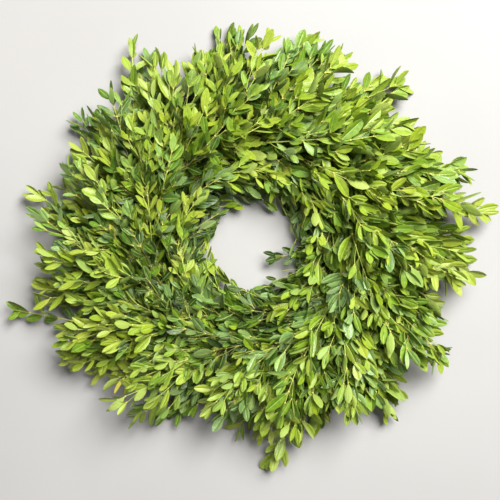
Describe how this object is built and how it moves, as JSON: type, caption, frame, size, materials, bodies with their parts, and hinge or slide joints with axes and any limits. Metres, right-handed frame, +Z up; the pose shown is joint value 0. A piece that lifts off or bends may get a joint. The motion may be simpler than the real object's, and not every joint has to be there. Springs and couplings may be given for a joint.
{
  "type": "evergreen wreath",
  "caption": "Round fresh boxwood wreath: leafy sprigs swirl clockwise round a small open middle, tied to a wire frame.",
  "frame": {"origin": "under the middle of the bounding box, on the table the wreath lies on", "axes": "+Z up through the hole, out of the wreath's front; +X to the right and +Y to the top as the wreath is seen from the front"},
  "size_m": [0.5118, 0.4698, 0.0706],
  "materials": {
    "foliage": "satin",
    "frame_wire": "satin",
    "tie_wire": "satin"
  },
  "bodies": {
    "root": {"wire_frame": "frame_wire", "tying_wire": "tie_wire", "outer_bunch_01": "foliage", "outer_bunch_02": "foliage", "outer_bunch_03": "foliage", "outer_bunch_04": "foliage", "outer_bunch_05": "foliage", "outer_bunch_06": "foliage", "outer_bunch_07": "foliage", "outer_bunch_08": "foliage", "outer_bunch_09": "foliage", "outer_bunch_10": "foliage", "outer_bunch_11": "foliage", "outer_bunch_12": "foliage", "outer_bunch_13": "foliage", "outer_bunch_14": "foliage", "outer_bunch_15": "foliage", "middle_bunch_01": "foliage", "middle_bunch_02": "foliage", "middle_bunch_03": "foliage", "middle_bunch_04": "foliage", "middle_bunch_05": "foliage", "middle_bunch_06": "foliage", "middle_bunch_07": "foliage", "middle_bunch_08": "foliage", "middle_bunch_09": "foliage", "middle_bunch_10": "foliage", "middle_bunch_11": "foliage", "middle_bunch_12": "foliage", "middle_bunch_13": "foliage", "middle_bunch_14": "foliage", "middle_bunch_15": "foliage", "inner_bunch_01": "foliage", "inner_bunch_02": "foliage", "inner_bunch_03": "foliage", "inner_bunch_04": "foliage", "inner_bunch_05": "foliage", "inner_bunch_06": "foliage", "inner_bunch_07": "foliage", "inner_bunch_08": "foliage", "inner_bunch_09": "foliage", "inner_bunch_10": "foliage", "inner_bunch_11": "foliage", "inner_bunch_12": "foliage", "inner_bunch_13": "foliage", "inner_bunch_14": "foliage", "inner_bunch_15": "foliage"}
  },
  "joints": []
}
